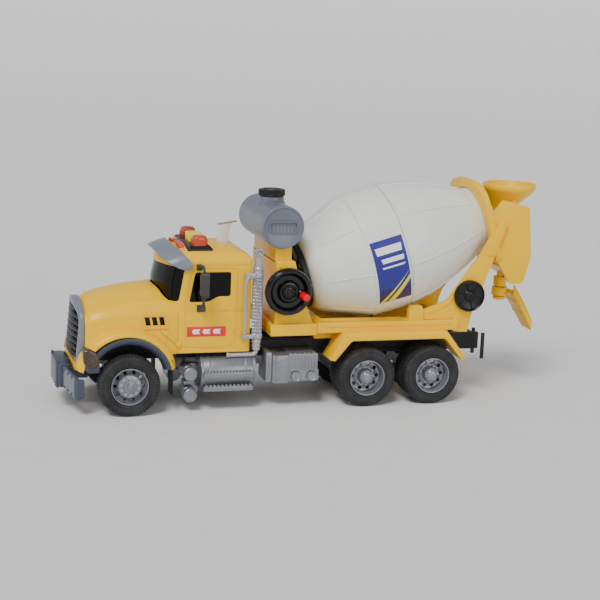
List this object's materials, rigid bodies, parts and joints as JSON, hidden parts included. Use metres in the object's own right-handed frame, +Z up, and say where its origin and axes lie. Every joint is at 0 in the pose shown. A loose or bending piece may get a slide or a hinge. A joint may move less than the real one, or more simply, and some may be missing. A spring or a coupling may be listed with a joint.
{
  "type": "toy cement mixer truck",
  "caption": "Toy cement mixer truck with a bonneted cab, a crank-turned mixing drum, rear hopper and swinging chute, and free-rolling friction-drive wheels.",
  "frame": {"origin": "on the ground, below the middle of the overall box", "axes": "+X towards the bumper, +Y to the truck's left, +Z up"},
  "size_m": [0.406, 0.114, 0.1799],
  "materials": {
    "yellow_plastic": "glossy injection moulding",
    "silver_plastic": "satin metallic-pigment moulding",
    "blue_grey_plastic": "satin moulding",
    "dark_grey_plastic": "satin moulding",
    "black_plastic": "semi-gloss moulding",
    "charcoal_plastic": "matte moulding",
    "glazing": "opaque black gloss insert",
    "tyre_rubber": "soft black vinyl",
    "cream_plastic": "satin off-white moulding",
    "amber_lens": "tinted translucent moulding",
    "red_plastic": "glossy moulding",
    "smoke_lens": "tinted translucent moulding",
    "steel": "plain bright",
    "lemon_plastic": "satin moulding",
    "circuit_board": "solder mask"
  },
  "bodies": {
    "truck": {"chassis_frame": "charcoal_plastic", "battery_cover": "charcoal_plastic", "bumper": "dark_grey_plastic", "fuel_tank_left": "silver_plastic", "fuel_tank_right": "silver_plastic", "battery_box_left": "silver_plastic", "battery_box_right": "silver_plastic", "cab_shell": "yellow_plastic", "cab_glazing": "glazing", "bonnet": "yellow_plastic", "arch_trim_left": "dark_grey_plastic", "arch_trim_right": "dark_grey_plastic", "headlamp_left": "smoke_lens", "headlamp_right": "smoke_lens", "grille_surround": "blue_grey_plastic", "grille": "black_plastic", "sun_visor": "blue_grey_plastic", "light_bar": "black_plastic", "beacon_left": "amber_lens", "beacon_right": "amber_lens", "button_spring": "steel", "sound_module": "circuit_board", "speaker": "black_plastic", "marker_lamps": "amber_lens", "mirror_left": "dark_grey_plastic", "mirror_right": "dark_grey_plastic", "exhaust_stack": "silver_plastic", "pedestal": "yellow_plastic", "water_tank": "blue_grey_plastic", "filler_cap": "black_plastic", "deck_frame": "yellow_plastic", "rear_frame": "yellow_plastic", "hopper": "yellow_plastic", "discharge_trough": "yellow_plastic"},
    "front_wheels": {"front_axle": "steel", "front_tyre_left": "tyre_rubber", "front_tyre_right": "tyre_rubber", "front_rim_left": "silver_plastic", "front_rim_right": "silver_plastic"},
    "drive_wheels": {"drive_axle": "steel", "rear_tyre_1_left": "tyre_rubber", "rear_tyre_1_right": "tyre_rubber", "rear_rim_1_left": "silver_plastic", "rear_rim_1_right": "silver_plastic"},
    "trailing_wheels": {"trailing_axle": "steel", "rear_tyre_2_left": "tyre_rubber", "rear_tyre_2_right": "tyre_rubber", "rear_rim_2_left": "silver_plastic", "rear_rim_2_right": "silver_plastic"},
    "flywheel_rotor": {"flywheel": "steel"},
    "crank": {"handwheel": "black_plastic", "crank_shaft": "steel"},
    "knob": {"crank_knob": "red_plastic"},
    "drum": {"drum_front_shell": "cream_plastic", "drum_rear_shell": "cream_plastic", "drum_drive": "black_plastic"},
    "chute": {"swing_chute": "yellow_plastic"},
    "disc_left": {"side_disc_left": "black_plastic"},
    "disc_right": {"side_disc_right": "black_plastic"},
    "button": {"sound_button": "lemon_plastic"}
  },
  "joints": [
    {"name": "front_wheels_spin", "type": "hinge", "parent": "truck", "child": "front_wheels", "pos_m": [0.1505, 0, 0.024], "axis": [0, 1, 0], "continuous": true},
    {"name": "drive_wheels_spin", "type": "hinge", "parent": "truck", "child": "drive_wheels", "pos_m": [-0.042, 0, 0.024], "axis": [0, 1, 0], "continuous": true},
    {"name": "trailing_wheels_spin", "type": "hinge", "parent": "truck", "child": "trailing_wheels", "pos_m": [-0.098, 0, 0.024], "axis": [0, 1, 0], "continuous": true},
    {"name": "flywheel_spin", "type": "hinge", "parent": "truck", "child": "flywheel_rotor", "pos_m": [-0.02677, 0, 0.0311], "axis": [0, 1, 0], "continuous": true},
    {"name": "drum_spin", "type": "hinge", "parent": "truck", "child": "drum", "pos_m": [-0.0419, 0, 0.1148], "axis": [-0.9603, 0, 0.279], "continuous": true},
    {"name": "crank_spin", "type": "hinge", "parent": "truck", "child": "crank", "pos_m": [0.0255, 0, 0.0952], "axis": [0, 1, 0], "continuous": true},
    {"name": "crank_knob_spin", "type": "hinge", "parent": "crank", "child": "knob", "pos_m": [0.0137, 0, 0.092], "axis": [0, 1, 0], "continuous": true},
    {"name": "chute_swing", "type": "hinge", "parent": "truck", "child": "chute", "pos_m": [-0.175, 0, 0.083], "axis": [0, 0, 1], "range_deg": [-55, 55]},
    {"name": "disc_left_spin", "type": "hinge", "parent": "truck", "child": "disc_left", "pos_m": [-0.13, 0.04, 0.088], "axis": [0, 1, 0], "continuous": true},
    {"name": "disc_right_spin", "type": "hinge", "parent": "truck", "child": "disc_right", "pos_m": [-0.13, -0.04, 0.088], "axis": [0, 1, 0], "continuous": true},
    {"name": "button_press", "type": "slide", "parent": "truck", "child": "button", "axis": [0, 0, -1], "range_m": [0, 0.002], "stiffness_N_per_m": 300, "deforming": ["button_spring"]}
  ],
  "couplings": [
    {"joint": "flywheel_spin", "follows": "drive_wheels_spin", "ratio": -2.5},
    {"joint": "crank_spin", "follows": "drum_spin", "ratio": -1.5}
  ]
}
